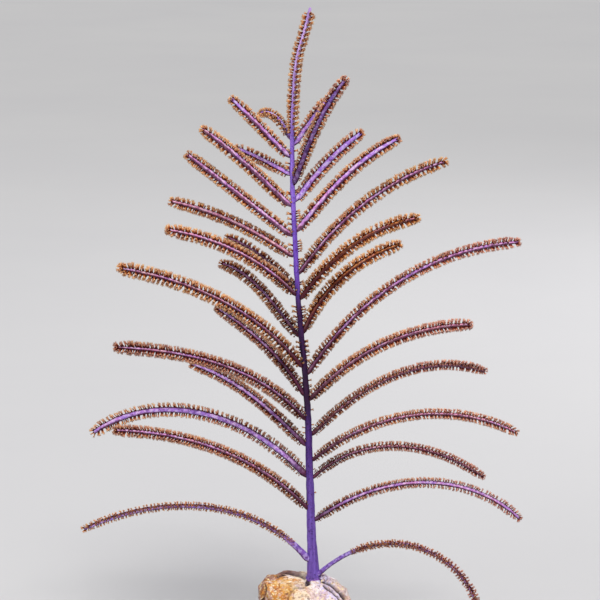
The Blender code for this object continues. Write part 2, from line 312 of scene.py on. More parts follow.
# Grain is a normal with small bumps. A mapping before it can draw them out along one direction
grain, put_in, put_out = new_group(
    "grain",
    [("Vector", VECTOR, None), ("Scale", FLOAT, 2000.0), ("Strength", FLOAT, 0.3),
     ("Height", FLOAT, 0.0001)],
    [("Normal", VECTOR)],
)
rough = add_node(grain, "ShaderNodeTexNoise", {
    "Vector": put_in["Vector"], "Scale": put_in["Scale"], "Detail": 4.0})
raised = add_node(grain, "ShaderNodeBump", {
    "Height": rough.outputs["Fac"], "Strength": put_in["Strength"], "Distance": put_in["Height"]})
grain.links.new(raised.outputs["Normal"], put_out["Normal"])


def patches(tree, spot, scale, low, high):
    """The mask of blotches, by their scale and the two ends of their soft edge."""
    inputs = {"Vector": spot, "Scale": scale, "From": low, "To": high}
    return add_node(tree, "ShaderNodeGroup", inputs, node_tree=blotches).outputs[0]


def roughen(tree, shader, spot, scale, strength, height):
    """Gives a shader the small bumps of the grain."""
    inputs = {"Vector": spot, "Scale": scale, "Strength": strength, "Height": height}
    bumps = add_node(tree, "ShaderNodeGroup", inputs, node_tree=grain).outputs[0]
    tree.links.new(bumps, shader.inputs["Normal"])


def stain(tree, shade, mask, strength, colour, blend="MIX"):
    """Lays a colour over a shade, where the mask says and as strongly as given."""
    return mix(tree, calc(tree, "MULTIPLY", mask, strength), shade, colour, blend)


def make_fleshy(shader, scatter, shine):
    """Soft flesh: a little light scatters inside it, over the given length."""
    shader.inputs["Subsurface Weight"].default_value = 0.1
    shader.inputs["Subsurface Scale"].default_value = scatter
    shader.inputs["Specular IOR Level"].default_value = shine


def new_finish(name):
    """A material with its graph, its Principled shader and its Object coordinates."""
    finish = bpy.data.materials.new(name)
    finish.use_nodes = True
    tree = finish.node_tree
    shader = tree.nodes["Principled BSDF"]
    spot = tree.nodes.new("ShaderNodeTexCoord").outputs["Object"]
    return finish, tree, shader, spot


print("node groups:", [group.name for group in bpy.data.node_groups])

# %% [markdown]
# ## Skin of the stem and the branches
# The living skin is purple. On the stem its shade changes with height, and fine lines run along
# it; its dark middle is partly its own colour and partly painted shade. On a branch the bare strip
# is violet or pink, and between the polyps it is maroon. The strip is painted lighter on its upper
# side and darker at bases deep in the coral, as painted light and shade. Three numbers are kept
# on the mesh, because the pattern follows the branch: "bare" is 1 on the strip, "pink" says how
# pink it is, and the third says how much painted light the strip gets.

# %% Stem skin
# Height over which the shade changes (m)
RAMP_HEIGHT = 0.21

stem_skin, tree, shader, spot = new_finish("stem_skin")
height = add_node(tree, "ShaderNodeSeparateXYZ", {"Vector": spot}).outputs["Z"]
height = calc(tree, "DIVIDE", height, RAMP_HEIGHT)
uneven = patches(tree, spot, 90.0, 0.3, 0.7)
height = calc(tree, "ADD", height, calc(tree, "MULTIPLY", uneven, 0.04))
# Darkest in the middle, where branches crowd: partly the stem's own colour, partly painted shade
shade = ramp(tree, height, [
    (0.122, (0.42, 0.16, 0.42)), (0.14, (0.2, 0.11, 0.48)), (0.25, (0.17, 0.085, 0.42)),
    (0.35, (0.08, 0.026, 0.2)), (0.42, (0.035, 0.007, 0.04)), (0.55, (0.05, 0.011, 0.08)),
    (0.64, (0.22, 0.1, 0.62)), (0.8, (0.36, 0.2, 0.82)), (0.95, (0.68, 0.46, 0.9)),
])
lengthwise = add_node(tree, "ShaderNodeMapping", {"Vector": spot, "Scale": (1.0, 1.0, 0.08)})
lengthwise = lengthwise.outputs["Vector"]
streaks = patches(tree, lengthwise, 1300.0, 0.42, 0.58)
shade = stain(tree, shade, streaks, 0.6, (0.4, 0.32, 0.5), "MULTIPLY")
specks = patches(tree, spot, 1200.0, 0.56, 0.64)
shade = stain(tree, shade, specks, 0.6, (0.2, 0.08, 0.2), "MULTIPLY")
tree.links.new(shade, shader.inputs["Base Color"])
tree.links.new(calc(tree, "MULTIPLY_ADD", streaks, 0.2, 0.42), shader.inputs["Roughness"])
roughen(tree, shader, lengthwise, 3000.0, 0.5, 0.00012)
make_fleshy(shader, 0.0005, 0.25)
print("made", stem_skin.name)

# %% Branch skin
branch_skin, tree, shader, spot = new_finish("branch_skin")
pink = read_attribute(tree, "pink")
bare = read_attribute(tree, "bare")
painted_light = read_attribute(tree, "painted_light")
uneven = patches(tree, spot, 160.0, 0.35, 0.65)
pink = calc(tree, "ADD", pink, calc(tree, "MULTIPLY", calc(tree, "SUBTRACT", uneven, 0.5), 0.35))
strip = ramp(tree, calc(tree, "MULTIPLY", pink, 0.8), [
    (0.0, (0.3, 0.16, 0.72)), (0.28, (0.5, 0.26, 0.8)), (0.52, (0.74, 0.32, 0.72)),
    (0.74, (0.88, 0.38, 0.58)), (1.0, (0.66, 0.19, 0.025)),
])
# Maroon between the polyps, also used as painted shade under the strip and at dark bases
maroon_and_painted_shade = mix(tree, uneven, (0.045, 0.004, 0.012), (0.1, 0.012, 0.03))
# Painted light: a violet strip is lighter on its upper side only, a pink one nearly all round
normal = add_node(tree, "ShaderNodeNewGeometry").outputs["Normal"]
facing_up = add_node(tree, "ShaderNodeSeparateXYZ", {"Vector": normal})
split = add_node(tree, "ShaderNodeMapRange", {
    "Value": pink, "From Min": 0.2, "From Max": 0.7, "To Min": -0.7, "To Max": 0.05})
split = split.outputs["Result"]
painted_top_light = add_node(tree, "ShaderNodeMapRange", {
    "Value": facing_up.outputs["Z"], "From Min": split, "From Max": calc(tree, "ADD", split, 0.3),
    "To Min": 0.15, "To Max": 1.0})
# The strip shows where it is bare, as far as its painted light and painted top light allow
lit = calc(tree, "MULTIPLY", calc(tree, "MULTIPLY", bare, painted_light), painted_top_light.outputs["Result"])
shade = mix(tree, lit, maroon_and_painted_shade, strip)
pores = patches(tree, spot, 850.0, 0.52, 0.6)
shade = stain(tree, shade, pores, 0.6, (0.25, 0.12, 0.2), "MULTIPLY")
# Pale beads on the strip, as strong as the strip's painted light
moved = add_node(tree, "ShaderNodeMapping", {"Vector": spot, "Location": (0.3, 0.1, 0.2)})
beads = patches(tree, moved.outputs["Vector"], 800.0, 0.5, 0.57)
pale = ramp(tree, calc(tree, "MULTIPLY", pink, 0.8), [
    (0.0, (0.62, 0.5, 0.92)), (0.5, (0.85, 0.6, 0.85)), (0.8, (0.92, 0.6, 0.66)),
    (1.0, (0.8, 0.36, 0.12)),
])
shade = stain(tree, shade, beads, calc(tree, "MULTIPLY", lit, 0.85), pale)
tree.links.new(shade, shader.inputs["Base Color"])
roughen(tree, shader, spot, 2600.0, 0.6, 0.00012)
shader.inputs["Roughness"].default_value = 0.45
make_fleshy(shader, 0.0005, 0.2)
print("made", branch_skin.name)

# %% [markdown]
# ## Finish of the polyps
# A polyp is dark and reddish at its foot, orange brown on its stalk, and pale gold or cream at
# the tips of its tentacles. "tip" is the height within the polyp, "tint" a number for each
# polyp, so that no two neighbours match, "warm" says how orange it is, and the fourth number is
# painted shade: 1 in full light and less where the coral would shade it.

# %% Polyp finish
polyp_finish, tree, shader, spot = new_finish("polyp_flesh")
tip = read_attribute(tree, "tip")
tint = read_attribute(tree, "tint")
warm = read_attribute(tree, "warm")
painted_shade = read_attribute(tree, "painted_shade")
golden = ramp(tree, tip, [
    (0.0, (0.035, 0.004, 0.002)), (0.25, (0.2, 0.035, 0.01)), (0.5, (0.54, 0.155, 0.032)),
    (0.75, (0.84, 0.42, 0.16)), (1.0, (0.98, 0.76, 0.5)),
], smooth=False)
rosy = ramp(tree, tip, [
    (0.0, (0.035, 0.003, 0.008)), (0.25, (0.16, 0.018, 0.014)), (0.5, (0.38, 0.075, 0.042)),
    (0.75, (0.72, 0.32, 0.23)), (1.0, (0.96, 0.7, 0.62)),
], smooth=False)
uneven = patches(tree, spot, 220.0, 0.3, 0.7)
choice = calc(tree, "ADD", warm, calc(tree, "MULTIPLY", calc(tree, "SUBTRACT", uneven, 0.5), 0.5))
own = calc(tree, "MULTIPLY", calc(tree, "SUBTRACT", tint, 0.5), 0.5)
choice = calc(tree, "ADD", choice, own, clamp=True)
flesh = mix(tree, choice, rosy, golden)
# Each polyp's own tone, darkened by the painted shade
depth = calc(tree, "MULTIPLY", calc(tree, "MULTIPLY_ADD", tint, 0.5, 0.65), painted_shade)
darker = add_node(tree, "ShaderNodeVectorMath", {0: flesh, "Scale": depth}, operation="SCALE")
tree.links.new(darker.outputs["Vector"], shader.inputs["Base Color"])
shader.inputs["Roughness"].default_value = 0.4
make_fleshy(shader, 0.0004, 0.2)
print("made", polyp_finish.name)

# %% [markdown]
# ## One polyp
# A soft coral's polyp is a short stalk with eight tentacles round its mouth. Thousands are
# needed, so one has only 50 faces. The top of a cone is drawn up and widened into a head, and
# inset for the mouth. The eight faces of the ring round the mouth are then drawn up, spread, and
# each collapsed to a point. A polyp could be sculpted finely instead, but nothing of that would
# show at this size.

# %% Model the polyp in three stages of opening
STALK_SHARE = 0.5
HEAD_SHARE = 0.25


def model_polyp(name, crown, splay, rise):
    """A polyp one unit tall that stands on the origin."""
    clear_selection()
    bpy.ops.mesh.primitive_cone_add(vertices=8, radius1=0.18, radius2=0.13, depth=STALK_SHARE,
                                    location=(0, 0, STALK_SHARE / 2))
    polyp = bpy.context.object
    polyp.name = name
    bpy.ops.object.transform_apply(location=True, rotation=False, scale=False)
    bpy.ops.object.mode_set(mode="EDIT")
    pick_faces(polyp, lambda middle, normal: normal.z > 0.9)
    bpy.ops.mesh.extrude_region_move(TRANSFORM_OT_translate={"value": (0, 0, HEAD_SHARE)})
    top = (0, 0, STALK_SHARE + HEAD_SHARE)
    bpy.ops.transform.resize(value=(crown, crown, 1), center_override=top)
    bpy.ops.mesh.inset(thickness=0.11, depth=-0.05)
    pick_faces(polyp, lambda middle, normal: middle.z > 0.65 and normal.z > 0.2
               and middle.xy.length > 0.14)
    bpy.ops.mesh.extrude_faces_move(TRANSFORM_OT_shrink_fatten={"value": 0})
    bpy.ops.transform.translate(value=(0, 0, rise))
    bpy.ops.transform.resize(value=(splay, splay, 1), center_override=top)
    bpy.ops.mesh.merge(type="COLLAPSE")
    bpy.ops.object.mode_set(mode="OBJECT")
    places = points_of(polyp.data)
    places[:, 2] *= 1 / places[:, 2].max()
    faces = [tuple(face.vertices) for face in polyp.data.polygons]
    width = 2 * float(np.abs(places[:, 0]).max())
    out = np.hypot(places[:, 0], places[:, 1])
    # Pale at the very tips, and dark in the mouth
    ends = 0.78 * ease(places[:, 2] / 0.75)
    ends[places[:, 2] > 0.97] = 1.0
    ends[(out < 0.18) & (places[:, 2] > 0.6) & (places[:, 2] < 0.95)] = 0.1
    print(name, "faces:", len(faces), "points:", len(places), "width:", round(width, 2))
    bpy.data.objects.remove(polyp)
    return places, faces, ends


POLYPS = [
    model_polyp("open_polyp", 1.9, 2.1, 0.36),
    model_polyp("half_open_polyp", 1.8, 1.65, 0.38),
    model_polyp("closing_polyp", 1.7, 1.15, 0.4),
]
# How common each stage is
POLYP_SHARES = (0.45, 0.35, 0.2)

# %% [markdown]
# ## Rows of polyps
# Copies of the polyp are placed with arrays and joined into one mesh for a branch, which is far
# quicker than thousands of objects. Each copy has its own height, lean and turn, drawn from a
# seeded generator, so the script gives the same coral each time.

# %% Place polyps in an array


def polyp_mesh(name, feet, aims, heights, widths, chance, warm, painted_shade):
    """One mesh of many polyps, from their feet, directions, sizes and tones."""
    count = len(feet)
    kinds = chance.choice(len(POLYPS), size=count, p=POLYP_SHARES)
    turns = chance.uniform(0, math.tau, count)
    tints = chance.uniform(0, 1, count)
    aims = aims / np.linalg.norm(aims, axis=1)[:, None]
    helper = np.where(np.abs(aims[:, 2:3]) < 0.9, (0.0, 0.0, 1.0), (1.0, 0.0, 0.0))
    side = np.cross(aims, helper)
    side /= np.linalg.norm(side, axis=1)[:, None]
    front = np.cross(aims, side)
    cos, sin = np.cos(turns)[:, None], np.sin(turns)[:, None]
    side, front = side * cos + front * sin, front * cos - side * sin
    places, faces, tips, sizes = [], [], [], []
    offset = 0
    for n in range(count):
        shape, shape_faces, ends = POLYPS[kinds[n]]
        flat = shape[:, :2] * widths[n]
        places.append(feet[n] + flat[:, :1] * side[n] + flat[:, 1:] * front[n]
                      + shape[:, 2:] * heights[n] * aims[n])
        faces += [tuple(corner + offset for corner in face) for face in shape_faces]
        tips.append(ends)
        sizes.append(len(shape))
        offset += len(shape)
    mesh = bpy.data.meshes.new(name)
    mesh.from_pydata(np.concatenate(places).tolist(), [], faces)
    paint(mesh, "tip", np.concatenate(tips))
    for label, tones in (("tint", tints), ("warm", warm), ("painted_shade", painted_shade)):
        paint(mesh, label, np.repeat(tones, sizes))
    mesh.materials.append(polyp_finish)
    mesh.shade_smooth()
    thing = bpy.data.objects.new(name, mesh)
    bpy.context.collection.objects.link(thing)
    return thing


# %% Room between neighbouring branches
# Each polyp stays nearer its own branch than any other, so crowns don't run into each other.
# The first steps of a line don't count, because all lines start in the stem
FIRST_STEPS = 6
owners = [number for number, line in enumerate(lines) for _ in line[0][FIRST_STEPS:]]
tree_of_lines = kdtree.KDTree(len(owners))
for index, point in enumerate(np.concatenate([line[0][FIRST_STEPS:] for line in lines])):
    tree_of_lines.insert(point, index)
tree_of_lines.balance()


def room_at(tip_point, own_distance, number):
    """Whether a polyp's tip is nearer its own line than to any other branch."""
    near = tree_of_lines.find_range(tip_point, own_distance + 0.4 * MM)
    return all(owners[index] == number for _, index, _ in near)


print("line points:", len(owners))

# %% [markdown]
# ## Core of a branch
# The core is a tapering tube that grows out of the stem. It starts thin inside the stem and is a
# little swollen where it leaves it. A path drawn as a curve, with a radius at each point, gives
# such a tube in one step. It is then turned into a mesh and made slightly uneven.

# %% Draw a tube along a path


def draw_tube(name, places, radii, sides):
    """A closed tube through the places, with a radius at each."""
    clear_selection()
    bpy.ops.curve.primitive_nurbs_path_add(location=(0, 0, 0))
    tube = bpy.context.object
    tube.name = name
    path = tube.data.splines[0]
    path.type = "POLY"
    path.points.add(len(places) - len(path.points))
    for point, place, radius in zip(path.points, places, radii):
        point.co = (*place, 1.0)
        point.radius = radius / MM
    tube.data.dimensions = "3D"
    tube.data.bevel_depth = MM
    tube.data.bevel_resolution = sides // 2 - 2
    tube.data.use_fill_caps = True
    bpy.ops.object.convert(target="MESH")
    tube = bpy.context.object
    bpy.ops.object.mode_set(mode="EDIT")
    bpy.ops.mesh.select_all(action="SELECT")
    bpy.ops.mesh.remove_doubles(threshold=0.00001)
    bpy.ops.mesh.normals_make_consistent(inside=False)
    bpy.ops.object.mode_set(mode="OBJECT")
    bpy.ops.object.shade_smooth()
    return tube


def make_uneven(thing, size, depth):
    """Small swellings and hollows, by moving each point along its normal."""
    mesh = thing.data
    places = points_of(mesh)
    normals = np.array([point.normal[:] for point in mesh.vertices])
    lift = np.array([noise.noise(Vector(place) / size) for place in places])
    move_points(mesh, places + normals * (lift * depth)[:, None])


# %% Draw the core of a branch
# How much stouter a bare foot is than the rest of its core
FOOT_SWELLS = {"left_branch_01": 0.4, "right_branch_01": 0.15}
# How much painted shade darkens the base of a branch that lies behind another one
PAINTED_SHADE_BEHIND = {"right_branch_13": 0.9}
# Length over which a base comes out of its painted shade (mm), where it isn't the usual one
USUAL_FADE_MM = 9
FADE_MM = {
    "left_branch_04": 16, "left_branch_06": 16, "right_branch_02": 14, "right_branch_04": 14,
    "right_branch_05": 14, "right_branch_07": 26, "right_branch_08": 26, "right_branch_09": 20,
    "right_branch_13": 42,
}


def depth_in_shade(name, root_height):
    """Painted shade at a branch's base: 1 up to a height of 115 mm, 0 above 150 mm and on a bare
    foot.
    """
    deep = PAINTED_SHADE_BEHIND.get(name, float(ease((150 - root_height) / 35)))
    return 0.0 if name in BARE_FOOT_MM else deep


def branch_core(number):
    """The core of a branch as a mesh, and its radius at each point of the line."""
    name, _, root_height, *_, core_mm, pink, painted_light, _ = BRANCHES[number]
    points, way, strip, across = lines[number]
    away = np.array([off_stem(point) for point in points])
    sunk = max(0.4 * MM, stem_radius(points[0][2]) - 0.6 * MM)
    start = int(np.argmax(away > -sunk))
    last = len(points) - 1 - round(CORE_STOPS / LINE_STEP)
    radius = core_mm * MM * (1 + 0.35 * np.exp(-np.clip(away, 0, None) / (2 * MM)))
    radius *= 0.75 + 0.25 * ease((last - np.arange(len(points))) * LINE_STEP / (9 * MM))
    bare = BARE_FOOT_MM.get(name, 0) * MM
    on_foot = 1 - ease((away - bare) / (4 * MM)) if bare else np.zeros(len(points))
    radius *= 1 + FOOT_SWELLS.get(name, 0) * on_foot
    # Inside the stem it starts thin, so that no knob stands out below a steep branch
    steps = np.clip(np.arange(len(points)) - start, 0, None)
    radius = np.minimum(radius, 0.3 * MM + 0.45 * LINE_STEP * steps)
    keep = list(range(start, last + 1, 2))
    places = [points[n] for n in keep]
    radii = [radius[n] for n in keep]
    for forward, share in ((0.3, 0.85), (0.5, 0.5), (0.58, 0.1)):
        places.append(points[keep[-1]] + way[keep[-1]] * forward * MM)
        radii.append(radius[keep[-1]] * share)
    core = draw_tube(name + "_core", places, radii, 10)
    make_uneven(core, 1.1 * MM, 0.1 * MM)
    found = points_of(core.data)
    nearest = np.linalg.norm(found[:, None] - points[None, ::2], axis=2).argmin(axis=1) * 2
    out = found - points[nearest]
    out /= np.maximum(np.linalg.norm(out, axis=1), 1e-9)[:, None]
    facing = np.abs(np.sum(out * strip[nearest], axis=1))
    foot = on_foot[nearest]
    paint(core.data, "bare", np.maximum(ease((facing - 0.3) / 0.45), foot))
    paint(core.data, "pink", pink * (1 - foot))
    # Painted shade: a base deep in the coral and a dim branch are painted darker, a bare foot gets a
    # fixed painted light
    fade = ease((away[nearest] / MM - 0.5) / FADE_MM.get(name, USUAL_FADE_MM))
    painted_shade = 1 - 0.9 * depth_in_shade(name, root_height) * (1 - fade)
    light = painted_light * (0.5 + 0.5 * PAINTED_DIMMING.get(name, 1.0)) * painted_shade
    paint(core.data, "painted_light", light * (1 - foot) + 0.6 * foot)
    core.data.materials.append(branch_skin)
    return core, radius


# %% [markdown]
# ## The branches
# Polyps stand in four rows on each side of the core, the middle two half a step ahead, so that
# the edge shows one tooth every 1.65 mm. On some branches they are partly drawn in and stand
# closer. They are small where the branch leaves the stem, lean a little towards its tip, and
# crowd round it there.

# %% Place the polyps of a branch
SPACING = 1.65 * MM
# Length over which polyps grow to their full size
NECK = 4.5 * MM
# How far out in a core a polyp is rooted, as a share of the radius, and the widest it gets
ROOTED = 0.8
WIDEST = 1.6 * MM
# How many crowd round the tip
TIP_CROWD = 5
# Middle rows: angle from the bare strip, shift along the row, size
ROWS = [(78, 0.55, 1.0), (104, 0.45, 1.0)]
# Branches whose polyps are partly drawn in and stand closer
DENSE = (
    "left_branch_01", "left_branch_02", "left_branch_04", "left_branch_05", "left_branch_06",
    "right_branch_01", "right_branch_02", "right_branch_03", "right_branch_04",
    "right_branch_05", "right_branch_06",
)
# How wide polyps are, where they are bristles
SLIM = {"left_branch_03": 0.7, "right_branch_02": 0.75}
# How much more orange, or less, the polyps are at the tip of a branch
TIP_WARM = {
    "left_branch_03": 0.3, "right_branch_01": -0.5, "right_branch_02": -0.5,
    "right_branch_03": -0.4, "right_branch_04": -0.3, "right_branch_05": -0.4,
    "right_branch_06": -0.5, "right_branch_07": -0.4, "right_branch_10": 0.3,
    "right_branch_13": -0.3,
}


def branch_polyps(number, radius):
    """All polyps of a branch, on a core of the given radius."""
    name, _, root_height, *_, reach, _, _, _, warm = BRANCHES[number]
    reach *= MM
    points, way, strip, across = lines[number]
    chance = np.random.default_rng(100 + number)
    away = np.array([off_stem(point) for point in points])
    bare = BARE_FOOT_MM.get(name, 0.5) * MM
    neck = int(np.argmax(away > bare))
    last = len(points) - 1
    end = last - round(CORE_STOPS / LINE_STEP)
    # A slender core is nearly covered, and a stout one shows a wide strip
    first = min(46 + 48 * (radius[len(radius) // 2] / MM - 0.5), 66)
    dense = name in DENSE
    spacing = SPACING * (0.75 if dense else 1.0)
    slim = SLIM.get(name, 0.88 if dense else 1.0)
    feet, aims, heights, widths, along = [], [], [], [], []

    def add(place, angle, size, lean):
        """One polyp at a point of the line, as tall as its reach and its neighbours allow."""
        centre = points[place]
        out = strip[place] * math.cos(angle) + across[place] * math.sin(angle)
        aim = out + way[place] * lean
        aim /= np.linalg.norm(aim)
        foot = centre + out * radius[place] * ROOTED
        grown = 0.7 + 0.3 * float(ease((away[place] - bare) / NECK))
        grown *= 0.62 + 0.38 * float(ease((last - place) * LINE_STEP / (5 * MM)))
        height = (reach - ROOTED * radius[place]) / max(float(aim @ out), 0.7) * size * grown
        height *= chance.uniform(0.86, 1.0)
        room = (last - place) * LINE_STEP + TIP_ROUND - 0.3 * MM
        height = min(height, room / max(float(aim @ way[place]), 0.05))
        while height > 0.7 * MM and not room_at(
            foot + aim * height, np.linalg.norm(foot + aim * height - centre), number
        ):
            height -= 0.1 * MM
        feet.append(foot)
        aims.append(aim)
        heights.append(height)
        widths.append(min(height, WIDEST) * chance.uniform(0.9, 1.15) * slim)
        along.append(place / last)

    for side in (1, -1):
        for angle, shift, size in [(first, 0.0, 0.9)] + ROWS + [(180 - first, 0.0, 0.9)]:
            spot = neck * LINE_STEP + (shift + (side < 0) * 0.4) * spacing
            while spot < end * LINE_STEP:
                place = round((spot + chance.uniform(-0.12, 0.12) * spacing) / LINE_STEP)
                place = min(max(place, neck), end)
                turn = side * math.radians(angle + chance.uniform(-7, 7))
                lean = chance.uniform(0.05, 0.35) + 0.5 * float(ease(1 - (end - place) / 8))
                add(place, turn, size, lean)
                spot += spacing * chance.uniform(0.94, 1.06)
    for n in range(TIP_CROWD):
        add(end, math.tau * n / TIP_CROWD + chance.uniform(-0.3, 0.3), 0.9, 1.6)
    along = np.array(along)
    warm = warm + TIP_WARM.get(name, 0.0) * ease((along - 0.4) / 0.5)
    # Painted shade: polyps near a base deep in the coral, and on a dim branch, are painted darker
    painted_shade = 1 - 0.5 * depth_in_shade(name, root_height) * (1 - ease(along / 0.4))
    painted_shade *= PAINTED_DIMMING.get(name, 1.0)
    return polyp_mesh(name + "_polyps", np.array(feet), np.array(aims), heights, widths, chance,
                      warm, painted_shade)


# %% Make every branch


def join_pieces(name, *things):
    """One object out of several, under a new name."""
    clear_selection()
    for thing in things:
        thing.select_set(True)
    bpy.context.view_layer.objects.active = things[0]
    bpy.ops.object.join()
    things[0].name = name
    things[0].data.name = name
    return things[0]


for number, row in enumerate(BRANCHES):
    core, radius = branch_core(number)
    plume = join_pieces(row[0] + "_plume", core, branch_polyps(number, radius))
    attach(plume, "root")
    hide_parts(row[0])
    print(plume.name, "faces:", len(plume.data.polygons))

# %% [markdown]
# ## The stem
# The stem is the same kind of tube, wider at its foot, where it spreads over the rock. Small
# polyps stand to its left and right from a quarter of its height, a few more all round its dark
# middle, and full-sized ones all round on the leader, the young shoot at its top.

# %% Draw the stem
heights = np.concatenate((np.array((23.2, 23.7, 24.1, 24.4, 24.8, 25.3, 26.0, 27.2)) * MM,
                          np.arange(28.5, STEM_TOP_MM, 1.2) * MM))
places = [stem_centre(h) for h in heights]
radii = [stem_radius(h) for h in heights]
for up, share in ((0.5, 0.8), (0.8, 0.4), (0.9, 0.1)):
    places.append(stem_centre(STEM_TOP_MM * MM) + Vector((0.2, -0.1, 1)) * up * MM)
    radii.append(STEM_RADIUS_MM[-1][1] * MM * share)
stem = draw_tube("stem_core", places, radii, 16)
make_uneven(stem, 2.2 * MM, 0.16 * MM)
stem.data.materials.append(stem_skin)
print("stem core faces:", len(stem.data.polygons))

# %% Place the polyps of the stem
# Rows round the stem: angle from its front (degrees) and shift along the row
STEM_ROWS = [(44, 0.0), (80, 0.5), (104, 0.45), (136, 0.0),
             (224, 0.4), (256, 0.9), (280, 0.85), (316, 0.4)]
# Heights of the lowest and the highest foot, and of the tips that end the coral (mm)
LOWEST_MM = 52
HIGHEST_MM = 208.4
POLYPS_END_MM = 210.2
# Height on the stem and how far polyps stand out there, then their reach on the leader (mm)
STEM_POLYP_REACH_MM = [(LOWEST_MM, 0.9), (90, 1.2), (115, 1.8), (STEM_TOP_MM, 1.8)]
LEADER_REACH_MM = 2.45
WIDEST_ON_STEM = 1.5 * MM
# No polyp stands this near to the root of a branch
ROOM_AT_ROOT = 1.7 * MM

chance = np.random.default_rng(7)
roots = [Vector(point) for line in lines for point in line[0][2:14:2]]
feet, aims, tall, wide = [], [], [], []
for angle, shift in STEM_ROWS:
    height = LOWEST_MM * MM + shift * SPACING
    while height < HIGHEST_MM * MM:
        leader = float(ease((height / MM - 160) / 16))
        turn = math.radians(angle - 30 * leader + chance.uniform(-8, 8))
        out = Vector((math.sin(turn), -math.cos(turn), 0.0))
        core_radius = stem_radius(height)
        foot = stem_centre(height) + out * core_radius * ROOTED
        reach = core_radius + read_curve(STEM_POLYP_REACH_MM, height / MM)[0] * MM
        reach += (LEADER_REACH_MM * MM - reach) * leader
        size = (reach - core_radius * ROOTED) * chance.uniform(0.8, 1.0)
        sparse = float(ease((height / MM - 55) / 50))
        size = min(size, (POLYPS_END_MM * MM - height) / 0.6)
        lateral = abs(math.sin(turn)) > 0.9
        size *= 1.0 if lateral else 0.6 + 0.4 * leader
        grows = lateral and chance.uniform() < 0.2 + 0.8 * sparse
        speckled = float(ease((height / MM - 90) / 8) * ease((120 - height / MM) / 8))
        grows = grows or chance.uniform() < max(leader, 0.7 * speckled)
        clear = all((foot - point).length > ROOM_AT_ROOT for point in roots)
        if grows and clear:
            feet.append(foot)
            aims.append(out + Vector((0, 0, 0.25)))
            tall.append(size)
            wide.append(min(size, WIDEST_ON_STEM) * chance.uniform(0.9, 1.15))
        height += SPACING * chance.uniform(0.94, 1.06)
feet = np.array(feet)
# Painted shade: polyps low on the stem are painted darker, for the branches above that shade them
light = 0.6 + 0.4 * ease((feet[:, 2] / MM - 110) / 50)
stem_polyps = polyp_mesh("stem_polyps", feet, np.array(aims), tall, wide, chance,
                         np.full(len(feet), 0.8), light)
stem = join_pieces("stem_plume", stem, stem_polyps)
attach(stem, "root")
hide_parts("stem")
print("stem polyps:", len(feet))

# %% [markdown]
# ## Crust of the rock
# The rock is old reef stone. Amber stains cover its left side, cream and white its middle, and
# lavender its right, all broken up by grains and brown specks. The ramp follows the place across
# the rock, and soft patches move its borders. Grooves, pits and the hole are painted dark as
# painted shade, and the lip behind the stem lies in shade. The mesh tells the material where they
# are, in one number for the painted shade of the grooves and one for the lip.

# %% Rock finish
rock_finish, tree, shader, spot = new_finish("rock_crust")
across = add_node(tree, "ShaderNodeSeparateXYZ", {"Vector": spot}).outputs["X"]
across = calc(tree, "MULTIPLY_ADD", across, 33.0, 0.32)
broad = patches(tree, spot, 120.0, 0.25, 0.75)
across = calc(tree, "ADD", across, calc(tree, "MULTIPLY", broad, 0.36))
shade = ramp(tree, across, [
    (0.06, (0.3, 0.14, 0.1)), (0.16, (0.6, 0.24, 0.03)), (0.3, (0.75, 0.4, 0.1)),
    (0.4, (0.88, 0.7, 0.5)), (0.58, (0.92, 0.8, 0.76)), (0.76, (0.7, 0.62, 0.84)),
    (0.95, (0.78, 0.6, 0.58)),
])
moved = add_node(tree, "ShaderNodeMapping", {"Vector": spot, "Location": (0.31, 0.17, 0.05)})
moved = moved.outputs["Vector"]
on_left = add_node(tree, "ShaderNodeMapRange", {
    "Value": across, "From Min": 0.62, "From Max": 0.3, "To Min": 0.3, "To Max": 0.85})
on_left = on_left.outputs["Result"]
# Stains, one over the other: place, scale, two ends of the edge, strength, colour
for place, scale, low, high, strength, colour in (
    (moved, 260.0, 0.53, 0.6, 0.8, (0.95, 0.9, 0.9)),
    (spot, 330.0, 0.52, 0.58, on_left, (0.58, 0.2, 0.025)),
    (moved, 420.0, 0.53, 0.59, 0.55, (0.62, 0.42, 0.44)),
    (moved, 900.0, 0.55, 0.62, 0.8, (0.95, 0.78, 0.42)),
    (spot, 700.0, 0.56, 0.63, on_left, (0.24, 0.075, 0.015)),
    (moved, 1300.0, 0.57, 0.63, 0.75, (0.3, 0.13, 0.08)),
):
    mask = patches(tree, place, scale, low, high)
    shade = stain(tree, shade, mask, strength, colour)
shade = mix(tree, read_attribute(tree, "lip"), shade, (0.3, 0.16, 0.17))
# Painted shade: grooves, pits and the hole are painted near black
shade = mix(tree, read_attribute(tree, "painted_groove_shade"), shade, (0.035, 0.015, 0.025))
tree.links.new(shade, shader.inputs["Base Color"])
shader.inputs["Roughness"].default_value = 0.8
roughen(tree, shader, spot, 1600.0, 0.9, 0.0003)
print("made", rock_finish.name)

# %% [markdown]
# ## Shape of the rock
# A copy of the solid is cut finer and rounded, and every point then sinks by a little noise. Two
# curved grooves on the right, the gap beside a thin flake on the left, a groove under the raised
# lip, a soft line left of the middle and one small hole are drawn as seen from the front, as
# lines of (sideways, up) places. The upper left corner is pushed up, and the flake stands
# upright. Round the holdfast the rock stays as it is, so the coral stands on it.

